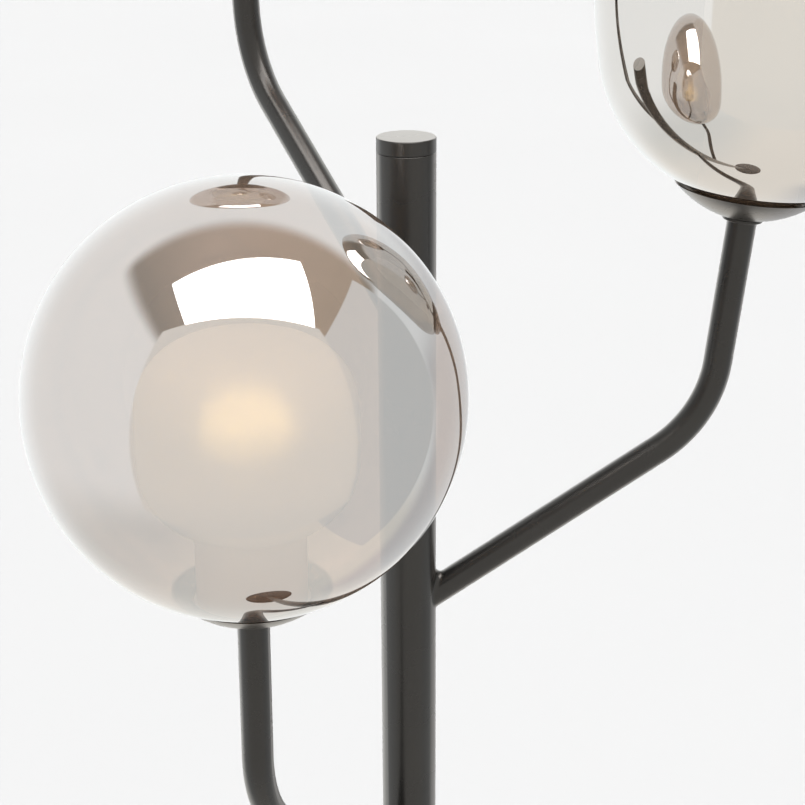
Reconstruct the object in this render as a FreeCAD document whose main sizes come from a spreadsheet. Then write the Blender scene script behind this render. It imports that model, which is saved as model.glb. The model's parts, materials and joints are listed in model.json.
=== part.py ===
import FreeCAD, Part
import math
import os
import re
import Sketcher
from FreeCAD import Placement, Rotation, Vector

# Globe floor lamp: a round post on a disc base, three bent tube arms at 120 degrees, and on each
# arm a mirror-coated glass around a frosted inner glass and a small screw-in bulb.
# Millimetres, +Z up. The origin is on the post's axis at the floor, and +X points along the right arm.

SIZES = {
    # post
    "post_height": 1450.0,
    "post_diameter": 32.0,
    "post_wall": 1.5,
    "post_joint_height": 720.0,
    "cap_height": 8.0,
    "cap_spigot_length": 12.0,
    "cap_edge_radius": 0.8,
    "seam_chamfer": 0.35,
    "tube_fit_gap": 0.05,
    "coupling_length": 70.0,
    "coupling_bore": 20.0,
    "foot_plug_length": 25.0,
    # base
    "base_diameter": 280.0,
    "base_height": 20.0,
    "base_edge_radius": 6.0,
    "base_sheet": 1.5,
    "pad_thickness": 3.0,
    "weight_side_gap": 1.0,
    "recess_diameter": 46.0,
    "recess_ceiling": 12.0,
    "channel_width": 10.0,
    "stud_diameter": 20.0,
    "stud_bore": 15.0,
    "stud_drop": 8.5,
    "washer_diameter": 36.0,
    "washer_thickness": 1.5,
    "nut_width": 30.0,
    "nut_thickness": 6.0,
    "gland_bore": 6.0,
    "gland_diameter": 8.6,
    "gland_flange_diameter": 11.0,
    "gland_flange_thickness": 2.0,
    "gland_tail": 8.0,
    "terminal_width": 17.0,
    "terminal_height": 18.0,
    # arms
    "arm_diameter": 16.0,
    "arm_wall": 1.5,
    "arm_bend_radius": 72.0,
    "arm_reach": 170.0,
    "arm_leg": 115.0,
    "arm_spacing_angle": 120.0,
    "weld_radius": 3.0,
    "right_drop": 278.0,
    "right_slope": 34.0,
    "right_lean": 6.0,
    "front_drop": 441.0,
    "front_slope": 35.5,
    "front_lean": -0.8,
    "rear_drop": 109.0,
    "rear_slope": 36.0,
    "rear_lean": 4.0,
    # leads inside the arms and the post
    "lead_diameter": 4.0,
    "lead_offset": 4.5,
    "lead_turn_radius": 14.0,
    # fixings at the end of an arm
    "nipple_diameter": 10.0,
    "nipple_bore": 7.0,
    "nipple_length": 29.5,
    "nipple_drop": 9.5,
    "insert_length": 12.0,
    "thread_gap": 0.05,
    "collar_diameter": 21.8,
    "collar_thickness": 2.0,
    "collar_edge_radius": 0.6,
    "saucer_radius": 55.5,
    "saucer_rim_diameter": 78.0,
    "saucer_sheet": 1.2,
    "hub_diameter": 18.0,
    "hub_height": 5.4,
    "grip_diameter": 46.0,
    "grip_sheet": 0.8,
    "grip_height": 17.0,
    "grip_bow": 0.7,
    "grip_finger_angle": 26.0,
    "seal_top": 11.6,
    "seal_edge_gap": 0.5,
    "seat_gap": 0.1,
    # lampholder and bulb
    "holder_diameter": 28.0,
    "holder_foot_diameter": 24.0,
    "holder_foot_height": 6.0,
    "holder_length": 56.6,
    "holder_bore": 15.6,
    "shell_wall": 0.5,
    "bulb_cap_diameter": 13.8,
    "bulb_cap_length": 22.5,
    "bulb_contact_height": 2.5,
    "bulb_skirt_diameter": 22.0,
    "bulb_skirt_height": 9.0,
    "bulb_diameter": 45.0,
    "bulb_light_height": 30.0,
    "bulb_wall": 1.0,
    # glass
    "neck_diameter": 60.0,
    "glass_wall": 2.5,
    "glass_rim_gap": 0.4,
    "globe_diameter": 207.0,
    "pill_diameter": 198.0,
    "pill_height": 284.0,
    "pill_end_radius": 130.0,
    "pill_shoulder_radius": 85.0,
    "pill_side_radius": 300.0,
    "inner_neck_gap": 0.5,
    "inner_wall": 2.0,
    "inner_neck_fillet": 5.0,
    "drum_start": 47.0,
    "drum_diameter": 106.0,
    "drum_height": 98.0,
    "drum_end_radius": 120.0,
    "drum_shoulder_radius": 34.0,
    "drum_side_radius": 260.0,
    "tall_start": 54.0,
    "tall_diameter": 76.0,
    "tall_height": 150.0,
    "tall_end_radius": 48.0,
    "tall_shoulder_radius": 34.0,
    "tall_side_radius": 400.0,
}

# A hollow glass is its outside turned solid, and then its inside turned away.
TURN = {"outside": "Revolution", "inside": "Groove"}

# Each arm: its turn about the post in steps of the spacing angle, and the glass it carries.
ARMS = {
    "right": (0, "pill"),
    "front": (-1, "globe"),
    "rear": (1, "globe"),
}

doc = FreeCAD.newDocument("globe_floor_lamp")
sheet = doc.addObject("Spreadsheet::Sheet", "sizes")
for row, (alias, number) in enumerate(SIZES.items(), start=1):
    sheet.set("A%d" % row, alias)
    sheet.set("B%d" % row, str(number))
    sheet.setAlias("B%d" % row, alias)
doc.recompute()

pieces = []


# ---------------------------------------------------------------- sizes and formulas

def formula(text):
    """A formula in words, with each size's name pointed at its cell."""
    return re.sub(r"[a-z_]+", lambda word: "sizes." + word.group() if word.group() in SIZES else word.group(), text)


def size(text):
    """The number that a formula gives."""
    return float(sheet.evalExpression(text))


def bind(thing, prop, text):
    thing.setExpression(prop, formula(text))


# ---------------------------------------------------------------- sketches

def sketch_on(body, name, role="XZ_Plane", height=None):
    """A sketch on one of the body's own origin planes, lifted by a formula if one is given."""
    sketch = body.newObject("Sketcher::SketchObject", name)
    plane = next(item for item in body.Origin.OriginFeatures if item.Role == role)
    sketch.AttachmentSupport = [(plane, "")]
    sketch.MapMode = "FlatFace"
    if height is not None:
        sketch.AttachmentOffset = Placement(Vector(0, 0, size(height)), Rotation())
        bind(sketch, "AttachmentOffset.Base.z", height)
    return sketch


def hold(sketch, kind, *where, by=None):
    """A constraint, with its value bound to a formula if it has one."""
    if by is None:
        sketch.addConstraint(Sketcher.Constraint(kind, *where))
        return
    number = math.radians(size(by)) if kind == "Angle" else size(by)
    index = sketch.addConstraint(Sketcher.Constraint(kind, *where, number))
    sketch.setExpression("Constraints[%d]" % index, formula(by))


def fix_point(sketch, geo, pos, across, up):
    """Places one point by its two formulas, on an axis where the formula is 0."""
    if across == "0":
        hold(sketch, "PointOnObject", geo, pos, -2)
    else:
        hold(sketch, "DistanceX", -1, 1, geo, pos, by=across)
    if up == "0":
        hold(sketch, "PointOnObject", geo, pos, -1)
    else:
        hold(sketch, "DistanceY", -1, 1, geo, pos, by=up)


def arc_between(start, end, centre):
    """The short arc from start to end, and whether it runs anticlockwise."""
    first = math.atan2(start.y - centre.y, start.x - centre.x)
    last = math.atan2(end.y - centre.y, end.x - centre.x)
    turn = (last - first + math.pi) % (2 * math.pi) - math.pi
    circle = Part.Circle(centre, Vector(0, 0, 1), (start - centre).Length)
    if turn > 0:
        return Part.ArcOfCircle(circle, first, first + turn), True
    return Part.ArcOfCircle(circle, last, last - turn), False


def draw_closed(sketch, corners, arcs=None):
    """A closed outline through corners. arcs gives, for a side's number, its radius and its bulge:
    +1 bulges to the left of the way round, -1 to the right."""
    arcs = arcs or {}
    spots = [Vector(size(across), size(up), 0) for across, up in corners]
    sides = []
    for number, start in enumerate(spots):
        end = spots[(number + 1) % len(spots)]
        if number not in arcs:
            geo = sketch.addGeometry(Part.LineSegment(start, end))
            sides.append((geo, 1, 2))
            continue
        radius, bulge = arcs[number]
        chord = end - start
        left = Vector(-chord.y, chord.x, 0).normalize()
        rise = math.sqrt(size(radius) ** 2 - (chord.Length / 2) ** 2)
        centre = (start + end) * 0.5 - left * (bulge * rise)
        arc, forward = arc_between(start, end, centre)
        geo = sketch.addGeometry(arc)
        sides.append((geo, 1, 2) if forward else (geo, 2, 1))
        hold(sketch, "Radius", geo, by=radius)
    for number, (geo, first, last) in enumerate(sides):
        following, begin, _ = sides[(number + 1) % len(sides)]
        hold(sketch, "Coincident", geo, last, following, begin)
        fix_point(sketch, geo, first, *corners[number])


def draw_circle(sketch, diameter, across="0", up="0"):
    centre = Vector(size(across), size(up), 0)
    geo = sketch.addGeometry(Part.Circle(centre, Vector(0, 0, 1), size(diameter) / 2))
    fix_point(sketch, geo, 3, across, up)
    hold(sketch, "Diameter", geo, by=diameter)


# ---------------------------------------------------------------- solids

def keep(piece, label, place=Placement()):
    """Names a finished piece, puts it in its place and adds it to the list that is written."""
    piece.Label = label
    piece.Placement = place.multiply(piece.Placement)
    pieces.append(piece)
    return piece


def new_body(name):
    return doc.addObject("PartDesign::Body", name)


def revolve(body, sketch, kind="Revolution"):
    """Turns a half section about the vertical axis, to add it or, as a groove, to take it away."""
    turn = body.newObject("PartDesign::" + kind, kind.lower())
    turn.Profile = sketch
    turn.ReferenceAxis = (sketch, ["V_Axis"])
    turn.Angle = 360
    sketch.Visibility = False
    return turn


def turned(name, corners, arcs=None):
    """A turned piece: its half section, revolved about the vertical axis."""
    body = new_body(name)
    sketch = sketch_on(body, "section")
    draw_closed(sketch, corners, arcs)
    revolve(body, sketch)
    return body


def ring(name, outer, inner, bottom, top):
    """A plain turned tube or ring between two heights, from its two diameters."""
    out, core = "(%s) / 2" % outer, "(%s) / 2" % inner
    return turned(name, [(core, bottom), (out, bottom), (out, top), (core, top)])


def circles_between(shape, radius, low, high):
    """The round edges of one radius, from one height up to another."""
    names = []
    for number, edge in enumerate(shape.Edges, start=1):
        if edge.Degenerated or not isinstance(edge.Curve, Part.Circle):
            continue
        curve = edge.Curve
        if abs(curve.Radius - radius) < 1e-4 and low - 1e-4 < curve.Center.z < high + 1e-4:
            names.append("Edge%d" % number)
    return names


def dress(body, kind, prop, by, *edges):
    """A fillet or chamfer on the round edges named by a radius and a height, or two heights that
    the edge lies between."""
    doc.recompute()
    base = body.Tip
    names = []
    for radius, *heights in edges:
        names += circles_between(base.Shape, size(radius), size(heights[0]), size(heights[-1]))
    feature = body.newObject("PartDesign::" + kind, kind.lower())
    feature.Base = (base, names)
    bind(feature, prop, by)
    return feature


def cylinder(name, diameter, height, place):
    """A plain cylinder used as a tool, bound to its formulas."""
    tool = doc.addObject("Part::Cylinder", name)
    bind(tool, "Radius", "(%s) / 2" % diameter)
    bind(tool, "Height", height)
    tool.Placement = place
    return tool


def boolean(kind, name, base, tool):
    result = doc.addObject("Part::" + kind, name)
    result.Base = base
    result.Tool = tool
    return result


# ---------------------------------------------------------------- base

def build_base():
    rim = "base_diameter / 2"
    cover = turned("base_cover_body", [
        (rim + " - base_sheet", "pad_thickness"),
        (rim, "pad_thickness"),
        (rim, "base_height - base_edge_radius"),
        (rim + " - base_edge_radius", "base_height"),
        ("stud_diameter / 2 + tube_fit_gap", "base_height"),
        ("stud_diameter / 2 + tube_fit_gap", "base_height - base_sheet"),
        (rim + " - base_edge_radius", "base_height - base_sheet"),
        (rim + " - base_sheet", "base_height - base_edge_radius"),
    ], {2: ("base_edge_radius", -1), 6: ("base_edge_radius - base_sheet", 1)})
    inward = Rotation(Vector(1, 0, 0), 90)
    mouth = Placement(Vector(0, size("base_diameter / 2 + base_sheet"), size(GLAND_HEIGHT)), inward)
    hole = cylinder("cord_hole", "gland_diameter + 2 * tube_fit_gap", "base_sheet * 4", mouth)
    keep(boolean("Cut", "cover_with_cord_hole", cover, hole), "base_cover")

    weight = turned("base_weight_body", [
        ("stud_diameter / 2 + tube_fit_gap", "recess_ceiling"),
        ("recess_diameter / 2", "recess_ceiling"),
        ("recess_diameter / 2", "pad_thickness"),
        (WEIGHT_RIM, "pad_thickness"),
        (WEIGHT_RIM, "base_height - base_edge_radius"),
        ("base_diameter / 2 - base_edge_radius - weight_side_gap", "base_height - base_sheet"),
        ("stud_diameter / 2 + tube_fit_gap", "base_height - base_sheet"),
    ])
    channel = doc.addObject("Part::Box", "cord_channel")
    bind(channel, "Length", "channel_width")
    bind(channel, "Width", "base_diameter / 2")
    bind(channel, "Height", "recess_ceiling - pad_thickness")
    channel.Placement.Base = Vector(-size("channel_width / 2"), 0, size("pad_thickness"))
    slit = boolean("Cut", "weight_with_channel", weight, channel)
    room = cylinder("gland_room", "gland_diameter + 2", "gland_tail + weight_side_gap + base_sheet * 2", mouth)
    keep(boolean("Cut", "weight_with_gland_room", slit, room), "base_weight")

    pad = turned("floor_pad_body", [("0", "0"), (WEIGHT_RIM, "0"), (WEIGHT_RIM, "pad_thickness"),
                                    ("0", "pad_thickness")])
    keep(pad, "floor_pad")
    keep(ring("stud_washer_body", "washer_diameter", "stud_diameter + 2 * thread_gap",
              "recess_ceiling - washer_thickness", "recess_ceiling"), "stud_washer")
    keep(ring("post_stud_body", "stud_diameter", "stud_bore", "recess_ceiling - stud_drop",
              "base_height + foot_plug_length"), "post_stud")
    build_stud_nut()
    build_gland(mouth)


def build_stud_nut():
    body = new_body("stud_nut_body")
    sketch = sketch_on(body, "hexagon", "XY_Plane", "recess_ceiling - washer_thickness - nut_thickness")
    reach = size("nut_width / sqrt(3)")
    corners = [Vector(reach * math.cos(math.radians(60 * k)), reach * math.sin(math.radians(60 * k)), 0)
               for k in range(6)]
    sides = [sketch.addGeometry(Part.LineSegment(corners[k], corners[(k + 1) % 6])) for k in range(6)]
    guide = sketch.addGeometry(Part.Circle(Vector(), Vector(0, 0, 1), reach), True)
    hold(sketch, "Coincident", guide, 3, -1, 1)
    for number, side in enumerate(sides):
        hold(sketch, "Coincident", side, 2, sides[(number + 1) % 6], 1)
        hold(sketch, "PointOnObject", side, 1, guide)
        if number:
            hold(sketch, "Equal", sides[0], side)
    hold(sketch, "PointOnObject", sides[0], 1, -1)
    hold(sketch, "Radius", guide, by="nut_width / sqrt(3)")
    draw_circle(sketch, "stud_diameter + 2 * thread_gap")
    pad = body.newObject("PartDesign::Pad", "thickness")
    pad.Profile = sketch
    bind(pad, "Length", "nut_thickness")
    keep(body, "stud_nut")


def build_gland(mouth):
    """The bush that the cord enters by: flange outside the cover, barrel through it, tail inside."""
    wall = "base_sheet * 2"
    body = turned("cord_gland_body", [
        ("gland_bore / 2", "base_sheet - gland_flange_thickness"),
        ("gland_flange_diameter / 2", "base_sheet - gland_flange_thickness"),
        ("gland_flange_diameter / 2", "base_sheet - tube_fit_gap"),
        ("gland_diameter / 2", "base_sheet - tube_fit_gap"),
        ("gland_diameter / 2", wall + " + gland_tail"),
        ("gland_bore / 2", wall + " + gland_tail"),
    ])
    keep(body, "cord_gland", mouth)


# ---------------------------------------------------------------- post

def build_post():
    bore = "post_diameter - 2 * post_wall"
    plug = bore + " - 2 * tube_fit_gap"
    shoulder = "post_height - cap_height"
    lower = ring("post_lower_body", "post_diameter", bore, "base_height", "post_joint_height")
    dress(lower, "Chamfer", "Size", "seam_chamfer", ("post_diameter / 2", "post_joint_height"))
    keep(lower, "post_lower")

    upper = ring("post_upper_body", "post_diameter", bore, "post_joint_height", shoulder)
    dress(upper, "Chamfer", "Size", "seam_chamfer", ("post_diameter / 2", "post_joint_height"),
          ("post_diameter / 2", shoulder))
    for name in ARMS:
        hole = cylinder(name + "_lead_hole", "arm_diameter - 2 * arm_wall", "post_diameter", arm_place(name))
        hole.Placement = arm_place(name).multiply(Placement(Vector(), Rotation(Vector(0, 1, 0), 90)))
        upper = boolean("Cut", name + "_hole_cut", upper, hole)
    keep(upper, "post_upper")

    half = "coupling_length / 2"
    keep(ring("post_coupling_body", plug, "coupling_bore", "post_joint_height - " + half,
              "post_joint_height + " + half), "post_coupling")
    keep(ring("foot_plug_body", plug, "stud_diameter + 2 * thread_gap", "base_height",
              "base_height + foot_plug_length"), "foot_plug")

    cap = turned("post_cap_body", [
        ("0", shoulder + " - cap_spigot_length"),
        ("(" + plug + ") / 2", shoulder + " - cap_spigot_length"),
        ("(" + plug + ") / 2", shoulder),
        ("post_diameter / 2", shoulder),
        ("post_diameter / 2", "post_height"),
        ("0", "post_height"),
    ])
    dress(cap, "Fillet", "Radius", "cap_edge_radius", ("post_diameter / 2", "post_height"))
    dress(cap, "Chamfer", "Size", "seam_chamfer", ("post_diameter / 2", shoulder))
    keep(cap, "post_cap")

    block = doc.addObject("Part::Box", "terminal_body")
    bind(block, "Length", "terminal_width")
    bind(block, "Width", "terminal_width")
    bind(block, "Height", "terminal_height")
    half_width = size("terminal_width / 2")
    block.Placement.Base = Vector(-half_width, -half_width, size("base_height + foot_plug_length"))
    keep(block, "terminal_block")


# ---------------------------------------------------------------- arms

def arm_turn(name):
    """The arm's direction about the post."""
    return Rotation(Vector(0, 0, 1), ARMS[name][0] * size("arm_spacing_angle"))


def arm_place(name):
    """The frame of an arm's sloping run: +X up along the slope from the post's axis."""
    tilt = Rotation(Vector(0, 1, 0), -size(name + "_slope"))
    foot = Vector(0, 0, size("post_height - %s_drop" % name))
    return Placement(foot, arm_turn(name).multiply(tilt))


def arm_tip(name):
    """Reach and height of the arm's end, before its turn about the post."""
    corner_height = size("post_height - %s_drop + arm_reach * tan(%s_slope)" % (name, name))
    lean = math.radians(size(name + "_lean"))
    leg = size("arm_leg")
    return size("arm_reach") + leg * math.sin(lean), corner_height + leg * math.cos(lean)


def head_place(name):
    """The frame of an arm's head: origin at the tube's end, +Z along its leg."""
    reach, height = arm_tip(name)
    lean = Rotation(Vector(0, 1, 0), size(name + "_lean"))
    upright = Placement(Vector(reach, 0, height), lean)
    return Placement(Vector(), arm_turn(name)).multiply(upright)


def draw_arm_path(sketch, name):
    """The centre line in the slope's frame: straight run, bend, leg."""
    turn_text = "90 - {0}_lean - {0}_slope".format(name)
    turn = math.radians(size(turn_text))
    tangent = "arm_bend_radius * tan((%s) / 2)" % turn_text
    run_text = "arm_reach / cos({0}_slope) - {1}".format(name, tangent)
    leg_text = "arm_leg - " + tangent
    radius = size("arm_bend_radius")
    bend_start = Vector(size(run_text), 0, 0)
    centre = bend_start + Vector(0, radius, 0)
    bend_end = centre + Vector(math.sin(turn), -math.cos(turn), 0) * radius
    tip = bend_end + Vector(math.cos(turn), math.sin(turn), 0) * size(leg_text)
    run = sketch.addGeometry(Part.LineSegment(Vector(), bend_start))
    arc, _ = arc_between(bend_start, bend_end, centre)
    bend = sketch.addGeometry(arc)
    leg = sketch.addGeometry(Part.LineSegment(bend_end, tip))
    hold(sketch, "Coincident", run, 1, -1, 1)
    hold(sketch, "PointOnObject", run, 2, -1)
    hold(sketch, "Tangent", run, 2, bend, 1)
    hold(sketch, "Tangent", bend, 2, leg, 1)
    hold(sketch, "DistanceX", run, 1, run, 2, by=run_text)
    hold(sketch, "Radius", bend, by="arm_bend_radius")
    hold(sketch, "Distance", leg, by=leg_text)
    hold(sketch, "Angle", run, leg, by=turn_text + " + 0")


def bent_rod(name, arm, diameter):
    """A round bar along the arm's centre line, from the post's axis to the arm's tip."""
    body = new_body(name)
    path = sketch_on(body, "centre_line")
    draw_arm_path(path, arm)
    section = sketch_on(body, "section", "YZ_Plane")
    draw_circle(section, diameter)
    pipe = body.newObject("PartDesign::AdditivePipe", "bent")
    pipe.Profile = section
    pipe.Spine = path
    path.Visibility = False
    body.Placement = arm_place(arm)
    return body


def weld_edges(shape):
    """The seam where the arm meets the post: the one edge that lies on both round walls."""
    post_radius = size("post_diameter / 2")
    names = []
    for number, edge in enumerate(shape.Edges, start=1):
        spots = edge.discretize(7)
        on_post = all(abs(math.hypot(spot.x, spot.y) - post_radius) < 1e-3 for spot in spots)
        level = max(spot.z for spot in spots) - min(spot.z for spot in spots) < 1e-3
        upright = all(abs(spot.x - spots[0].x) < 1e-3 and abs(spot.y - spots[0].y) < 1e-3 for spot in spots)
        if on_post and not level and not upright:
            names.append(number)
    return names


def build_arm(name):
    """Bent tube, coped to the post and flared by its weld."""
    outside = bent_rod(name + "_arm_outside", name, "arm_diameter")
    inside = bent_rod(name + "_arm_bore", name, "arm_diameter - 2 * arm_wall")
    spread = size("arm_diameter / cos(%s_slope)" % name) * 2
    foot = Placement(Vector(0, 0, size("post_height - %s_drop" % name) - spread), arm_turn(name))
    stub = cylinder(name + "_post_stub", "post_diameter", "arm_diameter * 4 / cos(%s_slope)" % name, foot)
    joined = boolean("Fuse", name + "_joined", stub, outside)
    doc.recompute()
    weld = doc.addObject("Part::Fillet", name + "_weld")
    weld.Base = joined
    radius = size("weld_radius")
    weld.Edges = [(number, radius, radius) for number in weld_edges(joined.Shape)]
    coped = boolean("Cut", name + "_coped", weld, stub)
    keep(boolean("Cut", name + "_hollow", coped, inside), name + "_arm")


def build_lead(name):
    """The lead from a lampholder down its arm and the post to the terminal block."""
    body = new_body(name + "_lead_body")
    path = sketch_on(body, "route")
    slope = math.radians(size(name + "_slope"))
    lean = math.radians(size(name + "_lean"))
    reach, height = arm_tip(name)
    up_leg = Vector(math.sin(lean), math.cos(lean), 0)
    down_slope = Vector(-math.cos(slope), -math.sin(slope), 0)
    top = Vector(reach, height, 0) + up_leg * size(LEAD_TOP)
    corner = Vector(size("arm_reach"), height - math.cos(lean) * size("arm_leg"), 0)
    offset = size("lead_offset")
    elbow = Vector(offset, size("post_height - %s_drop" % name) + offset * math.tan(slope), 0)
    foot = Vector(offset, size(TERMINAL_TOP), 0)
    bend = size("arm_bend_radius") * math.tan((math.pi / 2 - lean - slope) / 2)
    fall = size("lead_turn_radius") * math.tan((math.pi / 2 - slope) / 2)
    bend_top, bend_foot = corner + up_leg * bend, corner + down_slope * bend
    turn_top, turn_foot = elbow - down_slope * fall, elbow + Vector(0, -fall, 0)
    bend_centre = bend_foot + Vector(-math.sin(slope), math.cos(slope), 0) * size("arm_bend_radius")
    turn_centre = turn_foot + Vector(size("lead_turn_radius"), 0, 0)
    riser = sketch_line(path, foot, turn_foot)
    turn, _ = arc_between(turn_foot, turn_top, turn_centre)
    turn = path.addGeometry(turn)
    run = sketch_line(path, turn_top, bend_foot)
    arc, _ = arc_between(bend_foot, bend_top, bend_centre)
    arc = path.addGeometry(arc)
    leg = sketch_line(path, bend_top, top)
    fix_point(path, riser, 1, "lead_offset", TERMINAL_TOP)
    hold(path, "Vertical", riser)
    hold(path, "Tangent", riser, 2, turn, 2)
    hold(path, "Tangent", turn, 1, run, 1)
    hold(path, "Tangent", run, 2, arc, 1)
    hold(path, "Tangent", arc, 2, leg, 1)
    hold(path, "Radius", turn, by="lead_turn_radius")
    hold(path, "Radius", arc, by="arm_bend_radius")
    hold(path, "Angle", -1, run, by=name + "_slope + 0")
    hold(path, "Angle", -1, leg, by="90 - %s_lean" % name)
    path.addConstraint(Sketcher.Constraint("DistanceX", -1, 1, leg, 2, top.x))
    path.addConstraint(Sketcher.Constraint("DistanceY", -1, 1, leg, 2, top.y))
    section = sketch_on(body, "section", "XY_Plane", TERMINAL_TOP)
    draw_circle(section, "lead_diameter", "lead_offset")
    pipe = body.newObject("PartDesign::AdditivePipe", "cable")
    pipe.Profile = section
    pipe.Spine = path
    path.Visibility = False
    keep(body, name + "_lead", Placement(Vector(), arm_turn(name)))


def sketch_line(sketch, start, end):
    return sketch.addGeometry(Part.LineSegment(start, end))


# ---------------------------------------------------------------- head

def build_fixings(name, place):
    """What fastens a glass and a lampholder to the end of an arm."""
    bolt_hole = "nipple_diameter + 2 * thread_gap"
    tube_bore = "arm_diameter - 2 * arm_wall - 2 * tube_fit_gap"
    keep(ring(name + "_insert_body", tube_bore, bolt_hole, "-insert_length", "0"), name + "_insert", place)
    keep(ring(name + "_nipple_body", "nipple_diameter", "nipple_bore", "-nipple_drop", LEAD_TOP),
         name + "_nipple", place)

    collar = ring(name + "_collar_body", "collar_diameter", bolt_hole, "0", "collar_thickness")
    dress(collar, "Fillet", "Radius", "collar_edge_radius", ("collar_diameter / 2", "0"),
          ("collar_diameter / 2", "collar_thickness"))
    keep(collar, name + "_collar", place)

    keep(build_saucer(name), name + "_saucer", place)
    keep(ring(name + "_hub_body", "hub_diameter", bolt_hole, SAUCER_FLOOR, GRIP_FLOOR), name + "_hub", place)
    keep(build_grip(name), name + "_grip", place)
    keep(build_seal(name), name + "_seal", place)


def build_saucer(name):
    """Shallow spun cup with a flat bottom, its walls two spheres about one centre."""
    flat = "collar_diameter / 2"
    hole = "nipple_diameter / 2 + thread_gap"
    rim = "saucer_rim_diameter / 2"
    inner_flat = "sqrt((saucer_radius - saucer_sheet)^2 - (%s - %s)^2)" % (SAUCER_CENTRE, SAUCER_FLOOR)
    return turned(name + "_saucer_body", [
        (hole, "collar_thickness"),
        (flat, "collar_thickness"),
        (rim, RIM_HEIGHT),
        (INNER_RIM, RIM_HEIGHT),
        (inner_flat, SAUCER_FLOOR),
        (hole, SAUCER_FLOOR),
    ], {1: ("saucer_radius", -1), 3: ("saucer_radius - saucer_sheet", 1)})


def build_grip(name):
    """Spring plate: a disc with three upright fingers that hold the glass by its neck."""
    body = new_body(name + "_grip_body")
    disc = sketch_on(body, "disc")
    hole = "nipple_diameter / 2 + thread_gap"
    edge = "grip_diameter / 2"
    top = GRIP_FLOOR + " + grip_sheet"
    draw_closed(disc, [(hole, GRIP_FLOOR), (edge, GRIP_FLOOR), (edge, top), (hole, top)])
    revolve(body, disc)
    finger = sketch_on(body, "finger")
    tip = GRIP_FLOOR + " + grip_height"
    waist = GRIP_FLOOR + " + grip_height * 0.6"
    draw_closed(finger, [
        (edge + " - grip_sheet", GRIP_FLOOR),
        (edge, GRIP_FLOOR),
        (edge + " + grip_bow", waist),
        (edge, tip),
        (edge + " - grip_sheet", tip),
        (edge + " + grip_bow - grip_sheet", waist),
    ])
    leaf = revolve(body, finger)
    bind(leaf, "Angle", "grip_finger_angle")
    doc.recompute()
    pattern = body.newObject("PartDesign::PolarPattern", "three_fingers")
    pattern.Originals = [leaf]
    pattern.Axis = (finger, ["V_Axis"])
    pattern.Angle = 360
    pattern.Occurrences = 3
    body.Tip = pattern
    return body


def build_seal(name):
    """Silicone ring: flat above, and below it lies in the saucer's curve."""
    core = "grip_diameter / 2 + seal_edge_gap"
    out = "neck_diameter / 2 - seal_edge_gap"
    bed = "%s - sqrt((saucer_radius - saucer_sheet)^2 - (%%s)^2)" % SAUCER_CENTRE
    return turned(name + "_seal_body", [
        (core, bed % core),
        (out, bed % out),
        (out, "seal_top"),
        (core, "seal_top"),
    ], {0: ("saucer_radius - saucer_sheet", -1)})


def build_lampholder(name, place):
    bolt_hole = "nipple_diameter / 2 + thread_gap"
    body = turned(name + "_lampholder_body", [
        (bolt_hole, HOLDER_FOOT),
        ("holder_foot_diameter / 2", HOLDER_FOOT),
        ("holder_foot_diameter / 2", HOLDER_FOOT + " + holder_foot_height"),
        ("holder_diameter / 2", HOLDER_FOOT + " + holder_foot_height + 2"),
        ("holder_diameter / 2", HOLDER_TOP),
        ("holder_bore / 2", HOLDER_TOP),
        ("holder_bore / 2", CAP_FLOOR),
        ("0", CAP_FLOOR),
        ("0", LEAD_TOP),
        (bolt_hole, LEAD_TOP),
    ])
    keep(body, name + "_lampholder", place)
    shell = "holder_bore - 2 * tube_fit_gap"
    keep(ring(name + "_contact_shell_body", shell, shell + " - 2 * shell_wall", CAP_FLOOR, HOLDER_TOP),
         name + "_contact_shell", place)


def build_bulb(name, place):
    """Screw cap with a plastic skirt, and a round glass on it."""
    seat = HOLDER_TOP + " + seat_gap"
    tip = seat + " - bulb_cap_length"
    skirt = seat + " + bulb_skirt_height"
    cap = turned(name + "_bulb_cap_body", [
        ("0", tip),
        ("bulb_cap_diameter / 4", tip),
        ("bulb_cap_diameter / 2", tip + " + bulb_contact_height"),
        ("bulb_cap_diameter / 2", seat),
        ("bulb_skirt_diameter / 2 - 3", seat),
        ("bulb_skirt_diameter / 2", skirt),
        ("0", skirt),
    ])
    keep(cap, name + "_bulb_cap", place)

    middle = HOLDER_TOP + " + bulb_light_height"
    foot = "bulb_skirt_diameter / 2 - bulb_wall / 2"
    body = new_body(name + "_bulb_glass_body")
    draw_ball(body, "outside", skirt, foot, middle, "bulb_diameter / 2")
    draw_ball(body, "inside", skirt, foot + " - bulb_wall", middle, "(bulb_diameter / 2 - bulb_wall)")
    keep(body, name + "_bulb_glass", place)


def draw_ball(body, side, mouth, neck, middle, radius):
    """A ball on a straight neck: added to the body as its outside, or taken from it as its inside."""
    sketch = sketch_on(body, side)
    meet = "%s - sqrt((%s)^2 - (%s)^2)" % (middle, radius, neck)
    draw_closed(sketch, [
        ("0", mouth),
        (neck, mouth),
        (neck, meet),
        (radius, middle),
        ("0", "%s + %s" % (middle, radius)),
    ], {2: (radius, -1), 3: (radius, -1)})
    revolve(body, sketch, TURN[side])


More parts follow.
